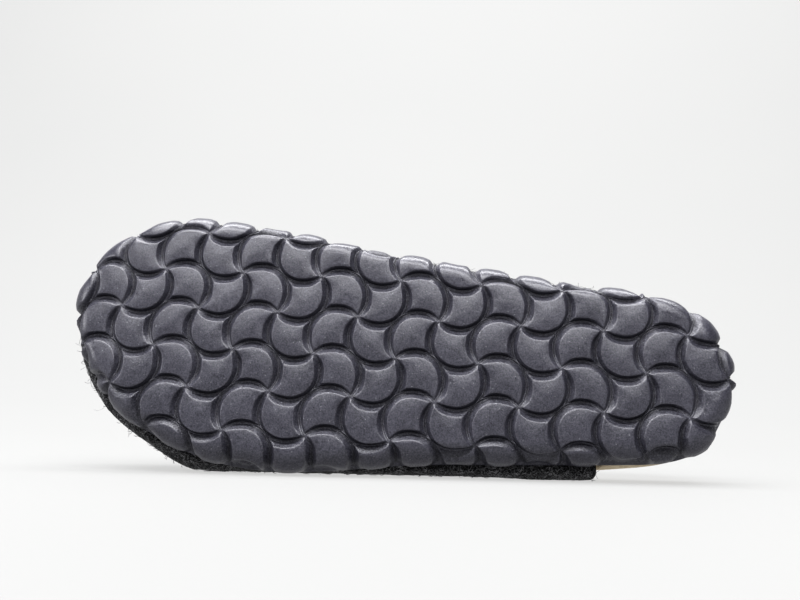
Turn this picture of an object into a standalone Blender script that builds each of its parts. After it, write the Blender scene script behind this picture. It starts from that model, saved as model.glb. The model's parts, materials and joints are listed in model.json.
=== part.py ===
"""Right felt clog lying on its outer side: outsole, footbed, insole and upper."""
import math

import bmesh
import bpy
import numpy as np
from mathutils import Vector
from mathutils.geometry import delaunay_2d_cdt

# Sizes are in millimetres, for the standing shoe: +X to the toe, +Y to the inner
# side, +Z up, with the lug lands at Z = 0.
MM = 0.001
GAP = 0.3

# Sole: height of the rim, radius of the rounded edge, slope of the side above it
RIM_HEIGHT = 14.0
EDGE_RADIUS = 8.0
SIDE_SLOPE = math.radians(72.0)
TOE_SPRING = 6.0
TOE_SPRING_FROM = 70.0
TOE_X = 134.8
HEEL_X = -135.0

# Sole outline at the rim: station X, outer edge Y, inner edge Y
SOLE_OUTLINE = (
    (-131.0, -14.0, 17.0),
    (-124.0, -24.0, 27.0),
    (-112.0, -30.0, 34.0),
    (-95.0, -32.5, 37.0),
    (-70.0, -34.5, 39.0),
    (-40.0, -36.8, 42.5),
    (-10.0, -39.5, 46.5),
    (20.0, -43.5, 51.0),
    (45.0, -45.3, 55.0),
    (70.0, -42.5, 57.8),
    (88.0, -36.5, 58.8),
    (104.0, -28.5, 55.8),
    (117.0, -18.0, 49.5),
    (127.0, -5.5, 40.5),
)
TOE_TIP_Y = 22.0
HEEL_TIP_Y = 1.0
OUTLINE_POINTS = 84

# Tread: wave grooves on a square lattice, crossing at right angles at every other node
PITCH = 16.25
LATTICE_X = 30.5
LATTICE_Y = 33.3
ARC_HALF_ANGLE = math.radians(43.0)
ARC_STEPS = 3
GROOVE_HALF_WIDTH = 1.9
GROOVE_PINCH = 0.55
GROOVE_DEPTH = 2.6
GROOVE_PINCH_REACH = 6.5
GROOVE_END = 0.7
GROOVE_FULL = 2.4
LAND_FLAT = 0.3

# Upper: felt wall on the rim, closed over the toe, open at the back of the collar
WALL = 3.5
COLLAR_X = -83.0
RIBS = 26
RIB_STEPS = 12
RIB_BIAS = 1.4
# Side wall by station X: outer and inner step past the rim, outer and inner bulge
UPPER_SIDE = (
    (-90.0, 3.0, 1.0, 3.2, 1.5),
    (-66.0, 2.4, 1.0, 3.4, 1.5),
    (-30.0, 1.2, 0.5, 5.5, 1.5),
    (10.0, -0.8, 0.0, 4.5, 1.5),
    (45.0, -2.2, 0.0, 3.0, 1.0),
    (75.0, 0.2, 0.0, 5.0, 1.0),
    (100.0, 1.0, 0.0, 1.9, 1.0),
    (135.0, 0.6, 0.6, 0.3, 1.4),
)
# Bulge over the rim: full at the first height, full up to the second, gone at the third
BULGE_FULL = 4.5
BULGE_FADE = 22.0
BULGE_END = 48.0
# Ridge from the throat to the toe box: share of the way, X, Y, height over the rim
RIDGE = (
    (0.0, 6.0, 5.0, 65.0),
    (0.25, 24.0, 6.5, 59.0),
    (0.5, 44.0, 9.0, 51.5),
    (0.75, 65.0, 12.0, 45.5),
    (1.0, 84.0, 16.0, 43.0),
)
# Roundness of a rib: share of the way, exponent of its arch
RIB_ROUND = ((0.0, 2.0), (0.35, 2.45), (0.6, 2.75), (0.8, 2.5), (1.0, 2.2))
# Slant of a rib: share of the way at which its run follows the arch, not the height
RIB_SLANT = 0.6
COLLAR_SWEEP = 1.6

# Footbed by station X: core thickness, rise of the outer edge, rise of the inner edge
BED_STATIONS = (
    (-135.0, 7.0, 7.0, 7.0),
    (-95.0, 7.0, 8.0, 8.0),
    (-45.0, 8.0, 5.0, 6.5),
    (0.0, 8.0, 2.5, 5.0),
    (45.0, 6.0, 1.5, 2.0),
    (90.0, 5.0, 1.0, 1.0),
    (135.0, 4.5, 1.0, 1.0),
)
BED_CUP = 20.0
BED_PROUD = 1.0
BED_INSET = 0.6
BED_DRAFT = 0.9
BED_POINTS = 84
INSOLE_THICKNESS = 2.0
INSOLE_INSET = 2.2
INSOLE_STEP = 0.8

# Rest on the outer side: the sole leans back from upright, the heel dips, and the felt
# is pressed flat where it meets the floor, at this height from the standing origin
REST_LEAN = math.radians(10.5)
REST_PITCH = math.radians(2.41)
REST_FLOOR = -45.268


def spline_columns(table, at):
    """Smooth values of a table's columns at the given first-column places."""
    rows = np.array(table, float)
    knots = rows[:, 0]
    slopes = np.gradient(rows[:, 1:], knots, axis=0)
    at = np.clip(np.atleast_1d(at), knots[0], knots[-1])
    k = np.clip(np.searchsorted(knots, at, side="right") - 1, 0, len(knots) - 2)
    span = (knots[k + 1] - knots[k])[:, None]
    t = (at - knots[k])[:, None] / span
    start = (2 * t**3 - 3 * t**2 + 1) * rows[k, 1:] + (t**3 - 2 * t**2 + t) * span * slopes[k]
    end = (3 * t**2 - 2 * t**3) * rows[k + 1, 1:] + (t**3 - t**2) * span * slopes[k + 1]
    return start + end


def closed_spline(points, count):
    """Evenly spaced points on a smooth closed curve through the given points."""
    p = np.array(points, float)
    n = len(p)
    step = np.linalg.norm(np.roll(p, -1, axis=0) - p, axis=1)
    before = np.roll(step, 1)
    system = np.zeros((n, n))
    rhs = np.zeros((n, 2))
    for k in range(n):
        system[k, k - 1] += before[k]
        system[k, k] += 2 * (before[k] + step[k])
        system[k, (k + 1) % n] += step[k]
        rhs[k] = 6 * ((p[(k + 1) % n] - p[k]) / step[k] - (p[k] - p[k - 1]) / before[k])
    bend = np.linalg.solve(system, rhs)
    fine = []
    for k in range(n):
        a = np.linspace(0.0, 1.0, 40, endpoint=False)[:, None]
        b = 1 - a
        h2 = step[k] ** 2 / 6
        curve = b * p[k] + a * p[(k + 1) % n]
        fine.append(curve + h2 * ((b**3 - b) * bend[k] + (a**3 - a) * bend[(k + 1) % n]))
    return resample_closed(np.vstack(fine), count)


def resample_closed(curve, count):
    """The closed curve with count points at equal arc length."""
    loop = np.vstack([curve, curve[:1]])
    length = np.concatenate([[0.0], np.cumsum(np.linalg.norm(np.diff(loop, axis=0), axis=1))])
    want = np.linspace(0.0, length[-1], count, endpoint=False)
    return np.column_stack([np.interp(want, length, loop[:, c]) for c in range(2)])


def outward_normals(loop):
    """Unit normals that point out of a closed anticlockwise loop."""
    along = np.roll(loop, -1, axis=0) - np.roll(loop, 1, axis=0)
    along /= np.linalg.norm(along, axis=1)[:, None]
    return np.column_stack([along[:, 1], -along[:, 0]])


def sole_outline(count):
    """Rim outline, anticlockwise from the heel tip along the outer side."""
    outer = [(x, y) for x, y, _ in SOLE_OUTLINE]
    inner = [(x, y) for x, _, y in reversed(SOLE_OUTLINE)]
    return closed_spline([(HEEL_X, HEEL_TIP_Y)] + outer + [(TOE_X, TOE_TIP_Y)] + inner, count)


def edge_distance(points, loop):
    """Distance of points to a closed loop and the unit direction from the loop to them."""
    a = loop
    b = np.roll(loop, -1, axis=0)
    ab = b - a
    best = np.full(len(points), np.inf)
    foot = np.zeros((len(points), 2))
    for k in range(len(loop)):
        t = np.clip(((points - a[k]) @ ab[k]) / (ab[k] @ ab[k]), 0.0, 1.0)
        q = a[k] + t[:, None] * ab[k]
        d = np.linalg.norm(points - q, axis=1)
        nearer = d < best
        best[nearer] = d[nearer]
        foot[nearer] = q[nearer]
    away = points - foot
    size = np.maximum(np.linalg.norm(away, axis=1), 1e-9)[:, None]
    return best, away / size


def inside(points, loop):
    """True for points inside a closed loop."""
    odd = np.zeros(len(points), bool)
    x, y = points[:, 0], points[:, 1]
    for a, b in zip(loop, np.roll(loop, -1, axis=0)):
        spans = (a[1] > y) != (b[1] > y)
        if spans.any():
            cut = a[0] + (y[spans] - a[1]) * (b[0] - a[0]) / (b[1] - a[1])
            odd[spans] ^= x[spans] < cut
    return odd


def toe_lift(x):
    """Rise of the sole towards the toe."""
    share = np.clip((x - TOE_SPRING_FROM) / (TOE_X - TOE_SPRING_FROM), 0.0, 1.2)
    return TOE_SPRING * share**2


def side_profile(d):
    """Height and slope angle of the sole's outer surface at a plan distance from the rim."""
    turn = EDGE_RADIUS * math.sin(SIDE_SLOPE)
    top = EDGE_RADIUS * (1 - math.cos(SIDE_SLOPE))
    run = turn + (RIM_HEIGHT - top) / math.tan(SIDE_SLOPE)
    h = run - d
    arc = np.clip(h, 0.0, turn)
    z = EDGE_RADIUS - np.sqrt(EDGE_RADIUS**2 - arc**2)
    z = z + np.clip(h - turn, 0.0, None) * math.tan(SIDE_SLOPE)
    return z, np.arcsin(arc / EDGE_RADIUS)


def side_contours():
    """Plan distances from the rim at which the sole's side changes."""
    turn = EDGE_RADIUS * math.sin(SIDE_SLOPE)
    top = EDGE_RADIUS * (1 - math.cos(SIDE_SLOPE))
    straight = (RIM_HEIGHT - top) / math.tan(SIDE_SLOPE)
    return (GROOVE_END, straight, straight + 0.45 * turn, straight + turn)


def groove_half_width(points):
    """Half width of the groove, narrow at the right-angled crossings."""
    u = (LATTICE_X - points[:, 0]) / PITCH
    v = (LATTICE_Y - points[:, 1]) / PITCH
    a = np.round((u + v) / 2) - (u + v) / 2
    b = np.round((u - v) / 2) - (u - v) / 2
    reach = np.hypot(a, b) * math.sqrt(2) * PITCH / GROOVE_PINCH_REACH
    t = np.clip(reach, 0.0, 1.0)
    return GROOVE_PINCH + (GROOVE_HALF_WIDTH - GROOVE_PINCH) * t * t * (3 - 2 * t)


def wave_arcs(loop):
    """Centre points and normals of the groove arcs over the sole."""
    radius = 0.5 / math.sin(ARC_HALF_ANGLE)
    angle = np.linspace(-ARC_HALF_ANGLE, ARC_HALF_ANGLE, ARC_STEPS + 1)
    along = 0.5 + radius * np.sin(angle)
    rise = radius * (np.cos(angle) - math.cos(ARC_HALF_ANGLE))
    normal = np.column_stack([np.sin(angle), np.cos(angle)])
    i_range = np.arange(math.floor((LATTICE_X - TOE_X) / PITCH), math.ceil((LATTICE_X - HEEL_X) / PITCH))
    j_range = np.arange(-3, 6)
    for i in i_range:
        for j in j_range:
            down = -1 if i % 2 == 0 else 1
            right = 1 if j % 2 == 0 else -1
            length = np.column_stack([i + along, j + down * rise])
            across = np.column_stack([i + right * rise, j + along])
            yield length, normal * [1, down]
            yield across, normal[:, ::-1] * [right, 1]


def groove_depth(points, loop):
    """Depth of the tread's grooves at plan points, none in the lands and at the rim."""
    near = np.full(len(points), np.inf)
    u = np.column_stack([(LATTICE_X - points[:, 0]) / PITCH, (LATTICE_Y - points[:, 1]) / PITCH])
    radius = 0.5 / math.sin(ARC_HALF_ANGLE)
    sink = radius * math.cos(ARC_HALF_ANGLE)
    cell = np.floor(u)
    for di in (-1, 0, 1):
        for dj in (-1, 0, 1, 2):
            for swap in (False, True):
                p = u[:, ::-1] if swap else u
                i = (cell[:, 1] if swap else cell[:, 0]) + di
                j = (cell[:, 0] if swap else cell[:, 1]) + dj
                even = np.where(i % 2 == 0, 1.0, -1.0)
                side = even if swap else -even
                dx = p[:, 0] - (i + 0.5)
                dy = (p[:, 1] - j) * side + sink
                arc = np.abs(np.hypot(dx, dy) - radius)
                ends = np.hypot(np.abs(dx) - 0.5, dy - sink)
                within = np.abs(np.arctan2(dx, dy)) <= ARC_HALF_ANGLE
                near = np.minimum(near, np.where(within, arc, ends))
    half = groove_half_width(points)
    slope = GROOVE_DEPTH / GROOVE_HALF_WIDTH
    d, _ = edge_distance(points, loop)
    fade = np.clip((d - GROOVE_END) / (GROOVE_FULL - GROOVE_END), 0.0, 1.0)
    cut = np.clip(half - near * PITCH, 0.0, None) * slope * fade
    return np.where(cut < LAND_FLAT, 0.0, cut)


def fill_plan(points, edges, loop, tolerance):
    """Triangles inside a loop that keep the given edges: plan points and faces."""
    made = delaunay_2d_cdt([Vector(p) for p in points], edges, [], 0, tolerance, False)
    flat = np.array([tuple(v) for v in made[0]])
    faces = np.array([tuple(f) for f in made[2]])
    kept = inside(flat[faces].mean(axis=1), loop)
    faces = faces[kept]
    used, faces = np.unique(faces, return_inverse=True)
    return flat[used], faces.reshape(-1, 3)


def chain(points, edges, curve, closed=False):
    """Add a curve's points and edges to the lists of a plan."""
    first = len(points)
    points.extend(tuple(p) for p in curve)
    edges.extend((first + k, first + k + 1) for k in range(len(curve) - 1))
    if closed:
        edges.append((first + len(curve) - 1, first))


def boundary_loop(faces):
    """Vertices of the single open edge of a set of triangles, in order."""
    follow = {}
    for tri in faces:
        for a, b in zip(tri, np.roll(tri, -1)):
            follow[int(a), int(b)] = True
    ahead = {a: b for a, b in follow if (b, a) not in follow}
    start = next(iter(ahead))
    loop = [start]
    while ahead[loop[-1]] != start:
        loop.append(ahead[loop[-1]])
    return loop


def trimmed(curve, loop):
    """The runs of a curve that lie further inside a loop than the grooves' ends."""
    d, _ = edge_distance(curve, loop)
    d = np.where(inside(curve, loop), d, -d) - GROOVE_END
    run = []
    for k in range(len(curve)):
        if d[k] > 0:
            run.append(curve[k])
        if k + 1 < len(curve) and (d[k] > 0) != (d[k + 1] > 0):
            t = d[k] / (d[k] - d[k + 1])
            run.append(curve[k] + t * (curve[k + 1] - curve[k]))
            if d[k] > 0:
                yield run
                run = []
    if len(run) > 1:
        yield run


def make_outsole():
    """Sole with its lugs, rounded edge, rim and toe spring."""
    rim = sole_outline(OUTLINE_POINTS)
    out = outward_normals(rim)
    points, edges = [], []
    chain(points, edges, rim, closed=True)
    for d in side_contours():
        chain(points, edges, rim - d * out, closed=True)
    for centre, normal in wave_arcs(rim):
        plan = np.array([LATTICE_X, LATTICE_Y]) - PITCH * centre
        half = groove_half_width(plan)[:, None]
        for side in (-1, 0, 1):
            for run in trimmed(plan + side * half * normal, rim):
                chain(points, edges, run)
    plan, faces = fill_plan(points, edges, rim, 0.25)
    d, inward = edge_distance(plan, rim)
    z, slope = side_profile(d)
    depth = groove_depth(plan, rim)
    lower = np.column_stack([
        plan + inward * (depth * np.sin(slope))[:, None],
        z + depth * np.cos(slope) + toe_lift(plan[:, 0]),
    ])
    ring = boundary_loop(faces)
    edge = plan[ring]
    rows = [(x, y) for x in np.arange(TOE_SPRING_FROM, TOE_X, 14.0) for y in np.arange(-40.0, 60.0, 14.0)]
    rows = np.array(rows)
    gap, _ = edge_distance(rows, edge)
    rows = rows[inside(rows, edge) & (gap > 5.0)]
    top_points, top_edges = [], []
    chain(top_points, top_edges, edge, closed=True)
    top_points.extend(tuple(p) for p in rows)
    top_plan, top_faces = fill_plan(top_points, top_edges, edge, 1e-5)
    top = np.column_stack([top_plan, RIM_HEIGHT + toe_lift(top_plan[:, 0])])
    lower[ring, 2] = RIM_HEIGHT + toe_lift(plan[ring, 0])
    return np.vstack([lower, top]), [list(f) for f in faces] + [list(f + len(lower)) for f in top_faces]


def side_run(outer_side, count):
    """Rim points and outward normals from the collar's corner to the toe tip."""
    rim = sole_outline(1200)
    out = outward_normals(rim)
    toe = int(np.argmax(rim[:, 0]))
    half = np.arange(0, toe + 1) if outer_side else np.arange(len(rim) - 1, toe - 1, -1)
    half = half[rim[half, 0] >= COLLAR_X]
    path = rim[half]
    length = np.concatenate([[0.0], np.cumsum(np.linalg.norm(np.diff(path, axis=0), axis=1))])
    want = np.linspace(0.0, length[-1], count)
    place = np.column_stack([np.interp(want, length, path[:, c]) for c in range(2)])
    normal = np.column_stack([np.interp(want, length, out[half][:, c]) for c in range(2)])
    return place, normal / np.linalg.norm(normal, axis=1)[:, None]


def eased(share):
    """A share held between 0 and 1 with a soft start and end."""
    t = np.clip(share, 0.0, 1.0)
    return t * t * (3 - 2 * t)


def upper_skin():
    """Outer face of the upper as ribs: outer side, ridge, inner side."""
    share = np.linspace(0.0, 1.0, RIBS + 1)
    ridge = spline_columns(RIDGE, share)
    power = 2 / spline_columns(RIB_ROUND, share)
    angle = math.pi / 2 * np.linspace(0.0, 1.0, RIB_STEPS + 1) ** RIB_BIAS
    over = 1 - np.cos(angle)[None, :] ** power
    over[:, -1] = 1.0
    rise = np.sin(angle)[None, :] ** power
    halves = []
    for column, outer_side in ((1, True), (2, False)):
        place, normal = side_run(outer_side, RIBS + 1)
        sizes = spline_columns(UPPER_SIDE, place[:, 0])
        foot = place + normal * sizes[:, column - 1: column]
        low = RIM_HEIGHT + GAP + toe_lift(foot[:, 0])[:, None]
        high = RIM_HEIGHT + ridge[:, 2:3] + toe_lift(ridge[:, 0:1])
        z = low + rise * (high - low)
        swell = eased((z - low) / BULGE_FULL) - eased((z - low - BULGE_FADE) / (BULGE_END - BULGE_FADE))
        bulge = sizes[:, column + 1: column + 2] * swell
        run = eased(share / RIB_SLANT)[:, None]
        forward = run * over + (1 - run) * rise**COLLAR_SWEEP
        reach = np.dstack([forward, over])
        plan = foot[:, None, :] + reach * (ridge[:, None, :2] - foot[:, None, :])
        plan = plan + bulge[..., None] * normal[:, None, :]
        halves.append(np.dstack([plan, z]))
    blend = 0.5 * (halves[0][-1] + halves[1][-1])
    halves[0][-1] = blend
    halves[1][-1] = blend
    skin = np.concatenate([halves[0], halves[1][:, -2::-1]], axis=1)
    up = rest_turn()[2]
    sunk = np.minimum(skin @ up - REST_FLOOR, 0.0)
    return skin - sunk[..., None] * up


def skin_normals(skin):
    """Outward unit normals of a rib skin."""
    along = np.gradient(skin, axis=0)
    across = np.gradient(skin, axis=1)
    normal = np.cross(across, along)
    last = np.cross(across[-2], along[-2])
    mirrored = last[::-1]
    normal[-1] = last / np.linalg.norm(last, axis=1)[:, None]
    normal[-1] += mirrored / np.linalg.norm(mirrored, axis=1)[:, None]
    middle = skin.shape[1] // 2
    normal /= np.linalg.norm(normal, axis=2)[..., None]
    if normal[1, middle, 2] < 0:
        normal = -normal
    return normal


def make_upper():
    """Felt wall between the outer skin and a skin one wall thickness inside it."""
    skin = upper_skin()
    normal = skin_normals(skin)
    inner = skin - WALL * normal
    for column in (0, -1):
        level = normal[:, column].copy()
        level[:, 2] = 0.0
        level /= np.linalg.norm(level, axis=1)[:, None]
        inner[:, column] = skin[:, column] - WALL * level
    ribs, steps = skin.shape[:2]
    half = steps // 2
    index = np.arange(ribs * steps).reshape(ribs, steps)
    index[-1, half + 1:] = index[-1, :half][::-1]
    far = index + ribs * steps
    faces = []
    for i in range(ribs - 1):
        for k in range(steps - 1):
            quad = [index[i, k], index[i, k + 1], index[i + 1, k + 1], index[i + 1, k]]
            faces.append(quad)
            faces.append([q + ribs * steps for q in reversed(quad)])
        for k, turn in ((0, 1), (steps - 1, -1)):
            faces.append([index[i, k], index[i + 1, k], far[i + 1, k], far[i, k]][::turn])
    for k in range(steps - 1):
        faces.append([index[0, k + 1], index[0, k], far[0, k], far[0, k + 1]])
    return np.vstack([skin.reshape(-1, 3), inner.reshape(-1, 3)]), faces


def bed_outline(inset, proud, count):
    """Outline inside the upper's wall in front and at the rim behind the collar."""
    rim = sole_outline(1200)
    out = outward_normals(rim)
    sizes = spline_columns(UPPER_SIDE, rim[:, 0])
    inner_share = np.clip((rim[:, 1] + 6.0) / 16.0, 0.0, 1.0)
    step = sizes[:, 0] * (1 - inner_share) + sizes[:, 1] * inner_share
    front = rim[:, 0] >= COLLAR_X - 1.2
    offset = np.where(front, step - WALL - inset, proud)
    loop = rim + out * offset[:, None]
    first = int(np.argmax(front))
    last = len(rim) - 1 - int(np.argmax(front[::-1]))
    heel = np.concatenate([np.arange(last + 1, len(rim)), np.arange(0, first)])
    pick = heel[np.linspace(0, len(heel) - 1, count // 3).astype(int)]
    run = np.linspace(first, last, count - count // 3).astype(int)
    return loop[np.concatenate([pick, run])]


def bed_rise(plan):
    """Thickness of the footbed: core and raised edge."""
    sizes = spline_columns(BED_STATIONS, plan[:, 0])
    d, _ = edge_distance(plan, sole_outline(OUTLINE_POINTS))
    cup = np.clip(1 - (d - 3.0) / BED_CUP, 0.0, 1.0) ** 2
    inner_share = np.clip((plan[:, 1] + 12.0) / 30.0, 0.0, 1.0)
    rise = sizes[:, 1] * (1 - inner_share) + sizes[:, 2] * inner_share
    return sizes[:, 0] + rise * np.clip(cup, 0.0, 1.0)


def bed_plan(outline, cover):
    """Plan points and faces of a bed whose middle follows the cover's outline."""
    points, edges = [], []
    if outline is not None:
        chain(points, edges, outline, closed=True)
    chain(points, edges, cover, closed=True)
    spine_y = np.interp(cover[:, 0], [HEEL_X, TOE_X], [2.0, 14.0])
    spine = np.column_stack([np.clip(cover[:, 0], -100.0, 96.0), spine_y])
    for share, every in ((0.85, 1), (0.66, 2), (0.44, 3), (0.2, 6)):
        ring = spine + share * (cover - spine)
        points.extend(tuple(p) for p in ring[::every])
    return fill_plan(points, edges, cover if outline is None else outline, 1e-5)


def make_layer(plan, faces, under, over, draft):
    """Solid between two height functions over a plan, its front edge drawn in at the top."""
    low = np.column_stack([plan, under(plan)])
    high = np.column_stack([plan, over(plan)])
    n = len(plan)
    ring = boundary_loop(faces)
    front = (plan[ring, 0] > COLLAR_X)[:, None]
    high[ring, :2] -= np.where(front, draft, 0.0) * outward_normals(plan[ring])
    solid = [list(f) for f in faces] + [[int(q) + n for q in f] for f in faces]
    for a, b in zip(ring, ring[1:] + ring[:1]):
        solid.append([a, b, b + n, a + n])
    return np.vstack([low, high]), solid


def bed_base(plan):
    """Level of the outsole's top, one gap higher."""
    return RIM_HEIGHT + GAP + toe_lift(plan[:, 0])


def make_footbed():
    """Shaped bed with a heel cup and a raised arch."""
    outline = bed_outline(BED_INSET, BED_PROUD, BED_POINTS)
    cover = bed_outline(INSOLE_INSET, BED_PROUD - INSOLE_STEP, BED_POINTS)
    plan, faces = bed_plan(outline, cover)
    return make_layer(plan, faces, bed_base, lambda p: bed_base(p) + bed_rise(p), BED_DRAFT)


def make_insole():
    """Thin cover that follows the footbed."""
    cover = bed_outline(INSOLE_INSET, BED_PROUD - INSOLE_STEP, BED_POINTS)
    plan, faces = bed_plan(None, cover)

    def under(p):
        return bed_base(p) + bed_rise(p) + GAP

    return make_layer(plan, faces, under, lambda p: under(p) + INSOLE_THICKNESS, 0.0)


def rest_turn():
    """Rotation from the standing shoe to the shoe on its outer side, toe to -X."""
    lie = np.array([[-1.0, 0.0, 0.0], [0.0, 0.0, 1.0], [0.0, 1.0, 0.0]])
    c, s = math.cos(REST_LEAN), math.sin(REST_LEAN)
    lean = np.array([[1.0, 0.0, 0.0], [0.0, c, s], [0.0, -s, c]])
    c, s = math.cos(REST_PITCH), math.sin(REST_PITCH)
    pitch = np.array([[c, 0.0, s], [0.0, 1.0, 0.0], [-s, 0.0, c]])
    return pitch @ lean @ lie


def new_material(name, colour, roughness):
    """Plain surface for one piece."""
    material = bpy.data.materials.new(name)
    material.use_nodes = True
    shader = material.node_tree.nodes["Principled BSDF"]
    shader.inputs["Base Color"].default_value = (*colour, 1.0)
    shader.inputs["Roughness"].default_value = roughness
    return material


def new_object(name, verts, faces, material):
    """Closed mesh object from points in metres."""
    work = bmesh.new()
    made = [work.verts.new(v) for v in verts]
    for face in faces:
        corners = list(dict.fromkeys(int(q) for q in face))
        if len(corners) > 2:
            work.faces.new([made[q] for q in corners])
    loose = [v for v in work.verts if not v.link_faces]
    bmesh.ops.delete(work, geom=loose, context="VERTS")
    bmesh.ops.remove_doubles(work, verts=work.verts, dist=1e-6)
    bmesh.ops.triangulate(work, faces=work.faces)
    bmesh.ops.recalc_face_normals(work, faces=work.faces)
    mesh = bpy.data.meshes.new(name)
    work.to_mesh(mesh)
    work.free()
    mesh.materials.append(material)
    thing = bpy.data.objects.new(name, mesh)
    bpy.context.scene.collection.objects.link(thing)
    return thing


def build():
    """All pieces in the rest pose, lowest point on Z = 0, centred in X and Y."""
    for old in list(bpy.data.objects):
        bpy.data.objects.remove(old)
    pieces = (
        ("outsole", make_outsole(), (0.07, 0.07, 0.085), 0.5),
        ("footbed", make_footbed(), (0.55, 0.42, 0.27), 0.8),
        ("insole", make_insole(), (0.62, 0.52, 0.38), 0.9),
        ("upper", make_upper(), (0.03, 0.03, 0.033), 0.95),
    )
    turn = rest_turn()
    turned = [(name, shape[0] @ turn.T, shape[1], tint, rough) for name, shape, tint, rough in pieces]
    everything = np.vstack([verts for _, verts, _, _, _ in turned])
    low, high = everything.min(axis=0), everything.max(axis=0)
    shift = -np.array([(low[0] + high[0]) / 2, (low[1] + high[1]) / 2, low[2]])
    for name, verts, faces, tint, rough in turned:
        new_object(name, (verts + shift) * MM, faces, new_material(name, tint, rough))


build()
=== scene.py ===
# %% [markdown]
# A felt clog lies on its outer side and shows its tread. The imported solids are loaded
# first, because they fix where every piece sits. The looks are then built around them:
# a moulded sole, a felt upper with its fuzz, a footbed and a cover on it.

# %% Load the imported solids
import json
import math

import bmesh
import bpy
import numpy as np
from mathutils import Matrix, Vector
from mathutils.geometry import delaunay_2d_cdt


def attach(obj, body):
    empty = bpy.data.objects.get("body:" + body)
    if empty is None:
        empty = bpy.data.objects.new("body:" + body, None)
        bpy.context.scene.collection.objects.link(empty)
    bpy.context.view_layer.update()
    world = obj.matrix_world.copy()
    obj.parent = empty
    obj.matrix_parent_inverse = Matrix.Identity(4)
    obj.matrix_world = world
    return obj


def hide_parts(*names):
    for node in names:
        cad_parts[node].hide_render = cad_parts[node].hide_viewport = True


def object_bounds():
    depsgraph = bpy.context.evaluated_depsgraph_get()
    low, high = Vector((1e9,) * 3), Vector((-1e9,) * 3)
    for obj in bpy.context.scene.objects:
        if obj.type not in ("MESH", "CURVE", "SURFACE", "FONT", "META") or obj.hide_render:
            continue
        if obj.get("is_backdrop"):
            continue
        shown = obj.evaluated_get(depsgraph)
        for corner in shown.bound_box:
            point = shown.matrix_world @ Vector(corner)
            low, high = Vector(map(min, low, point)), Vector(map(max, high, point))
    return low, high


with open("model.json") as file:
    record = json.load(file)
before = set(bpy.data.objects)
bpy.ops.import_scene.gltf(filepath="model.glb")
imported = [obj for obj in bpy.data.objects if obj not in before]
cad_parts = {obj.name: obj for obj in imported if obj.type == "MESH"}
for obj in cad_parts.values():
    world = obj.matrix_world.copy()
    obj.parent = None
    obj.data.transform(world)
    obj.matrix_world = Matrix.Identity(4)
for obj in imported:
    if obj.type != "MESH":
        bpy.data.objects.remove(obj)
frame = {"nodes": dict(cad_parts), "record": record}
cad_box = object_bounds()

print("solids:", sorted(frame["nodes"]))

# %% [markdown]
# The shoe is easiest to describe standing up: X to the toe, Y to the inner side, Z up,
# with the lug lands at Z = 0. The two mounts on the tread lie on one line along the sole,
# so they give the standing axes back from the lying pose. All sizes below are millimetres
# in these axes, and one matrix takes them to the frame.

# %% Standing axes from the two tread mounts
MM = 0.001
FOREFOOT_MOUNT = (38.6, 8.9)
mounts = {m["name"]: m for m in frame["record"]["mounts"]}
forefoot = np.array(mounts["tread_forefoot"]["pos_m"])
heel = np.array(mounts["tread_heel"]["pos_m"])
to_toe = (forefoot - heel) / np.linalg.norm(forefoot - heel)
to_top = -np.array(mounts["tread_forefoot"]["axis"])
to_top -= to_toe * (to_top @ to_toe)
to_top /= np.linalg.norm(to_top)
to_inner = np.cross(to_top, to_toe)
axes = np.column_stack([to_toe, to_inner, to_top])
origin = forefoot - MM * (FOREFOOT_MOUNT[0] * to_toe + FOREFOOT_MOUNT[1] * to_inner)
lying = Matrix.Translation(Vector(origin)) @ Matrix(axes.tolist()).to_4x4() @ Matrix.Scale(MM, 4)
print("lean of the sole in degrees:", round(math.degrees(math.asin(-to_top[2])), 2))

# %% [markdown]
# The camera looks at the tread from low down and a little from the heel. It is placed in
# the standing axes and carried over with the shoe, so the view of the tread stays the same
# however the shoe lies. The lens is written as a pixel focal length of an 800 pixel frame.

# %% Camera
FOCAL_PIXELS = 850.0
FRAME_PIXELS = 800.0
NEAR_CLIP = 0.01
EYE = (-22.1, -81.6, -323.1)
EYE_RIGHT = (-0.9967, 0.0715, 0.0378)
EYE_UP = (0.056, 0.947, -0.3164)

def linked(name, data):
    """A new object of some data, linked to the scene."""
    made = bpy.data.objects.new(name, data)
    bpy.context.scene.collection.objects.link(made)
    return made

camera_data = bpy.data.cameras.new("camera")
camera_data.sensor_fit = "HORIZONTAL"
camera_data.lens = camera_data.sensor_width * FOCAL_PIXELS / FRAME_PIXELS
camera_data.clip_start = NEAR_CLIP
camera = linked("camera", camera_data)
right = Vector(axes @ np.array(EYE_RIGHT)).normalized()
up = Vector(axes @ np.array(EYE_UP))
back = right.cross(up).normalized()
turn = Matrix((right, back.cross(right), back)).transposed().to_4x4()
camera.matrix_world = Matrix.Translation(lying @ Vector(EYE)) @ turn
bpy.context.scene.camera = camera
print("camera height in mm:", round(camera.location.z / MM, 1))

# %% [markdown]
# The photograph is a plain white studio picture. A floor that sweeps up into a back wall
# leaves no line behind the shoe, and a round wall far off keeps the horizon pale from the
# other sides. Both are marked as stage, because they are no part of the shoe.

# %% Floor and far wall
SWEEP_FRONT = -8.0
SWEEP_BACK = 0.12
SWEEP_RADIUS = 1.3
SWEEP_TOP = 2.2
SWEEP_HALF = 8.0
SWEEP_STEP = 6
FAR_RADIUS = 7.0
FAR_TOP = 2.2
FAR_SIDES = 64

def sweep_profile():
    """Points of the floor, the bend and the back wall, seen from the side."""
    bend = [math.radians(a) for a in range(0, 91, SWEEP_STEP)]
    points = [(SWEEP_FRONT, 0.0)]
    for a in bend:
        points.append((SWEEP_BACK + SWEEP_RADIUS * math.sin(a), SWEEP_RADIUS * (1 - math.cos(a))))
    return points + [(SWEEP_BACK + SWEEP_RADIUS, SWEEP_TOP)]

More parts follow.
